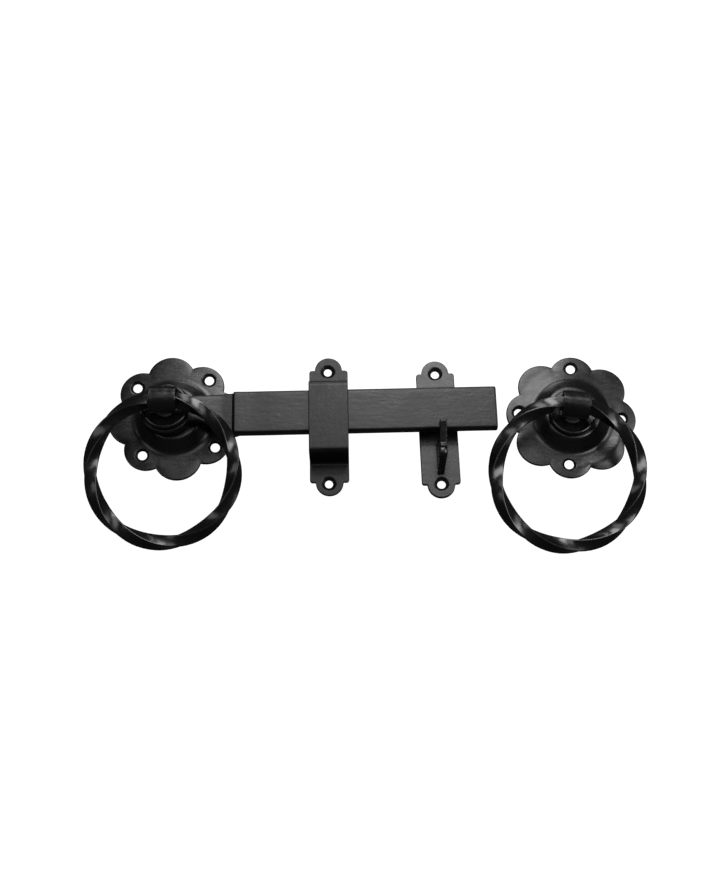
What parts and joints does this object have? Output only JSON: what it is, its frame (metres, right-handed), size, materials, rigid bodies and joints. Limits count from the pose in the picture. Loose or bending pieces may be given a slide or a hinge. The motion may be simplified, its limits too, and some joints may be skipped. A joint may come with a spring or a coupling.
{
  "type": "twisted ring gate latch set",
  "caption": "Gate latch set: pivoting flat bar, guide strap and hooked catch, with hinged twisted-ring handles for both faces of the gate joined by a square spindle.",
  "frame": {"origin": "the latch's pivot axis where it meets the gate's face", "axes": "+X along the latch bar towards the catch, +Y up the gate, +Z out of the gate's face"},
  "size_m": [0.3162, 0.12, 0.0985],
  "materials": {
    "pressed_black": "satin black paint over pressed sheet steel",
    "bar_black": "satin black paint over drawn flat bar",
    "forged_black": "semi-gloss black paint over rolled steel",
    "ring_black": "semi-gloss black paint over twisted square bar",
    "plated_steel": "dull zinc plate"
  },
  "bodies": {
    "fixed_plates": {"inner_rose": "pressed_black", "outer_rose": "pressed_black", "guide_strap": "pressed_black", "catch_plate": "pressed_black", "catch_hook": "pressed_black"},
    "latch": {"latch_bar": "bar_black", "inner_eye": "forged_black", "inner_collar": "forged_black", "inner_thrust_washer": "plated_steel", "inner_back_washer": "plated_steel", "inner_retaining_clip": "plated_steel"},
    "inner_ring_body": {"inner_ring": "ring_black"},
    "outer_handle": {"outer_eye": "forged_black", "outer_collar": "forged_black", "outer_back_washer": "plated_steel", "outer_retaining_clip": "plated_steel", "spindle": "plated_steel", "spindle_cross_pin": "plated_steel"},
    "outer_ring_body": {"outer_ring": "ring_black"}
  },
  "joints": [
    {"name": "latch_lift", "type": "hinge", "parent": "fixed_plates", "child": "latch", "pos_m": [0, 0, 0.013], "axis": [0, 0, 1], "range_deg": [-1.7, 1.15]},
    {"name": "inner_ring_swing", "type": "hinge", "parent": "latch", "child": "inner_ring_body", "pos_m": [0, 0.0003, 0.0289], "axis": [-1, 0, 0], "range_deg": [0, 212]},
    {"name": "outer_handle_turn", "type": "hinge", "parent": "fixed_plates", "child": "outer_handle", "pos_m": [0.2327, -0.0006, 0.01], "axis": [0, 0, 1], "range_deg": [-1.15, 1.7]},
    {"name": "outer_ring_swing", "type": "hinge", "parent": "outer_handle", "child": "outer_ring_body", "pos_m": [0.2327, -0.0006, 0.0235], "axis": [-0.9945, 0.1045, 0], "range_deg": [0, 205]}
  ],
  "couplings": [
    {"joint": "outer_handle_turn", "follows": "latch_lift", "ratio": -1}
  ]
}
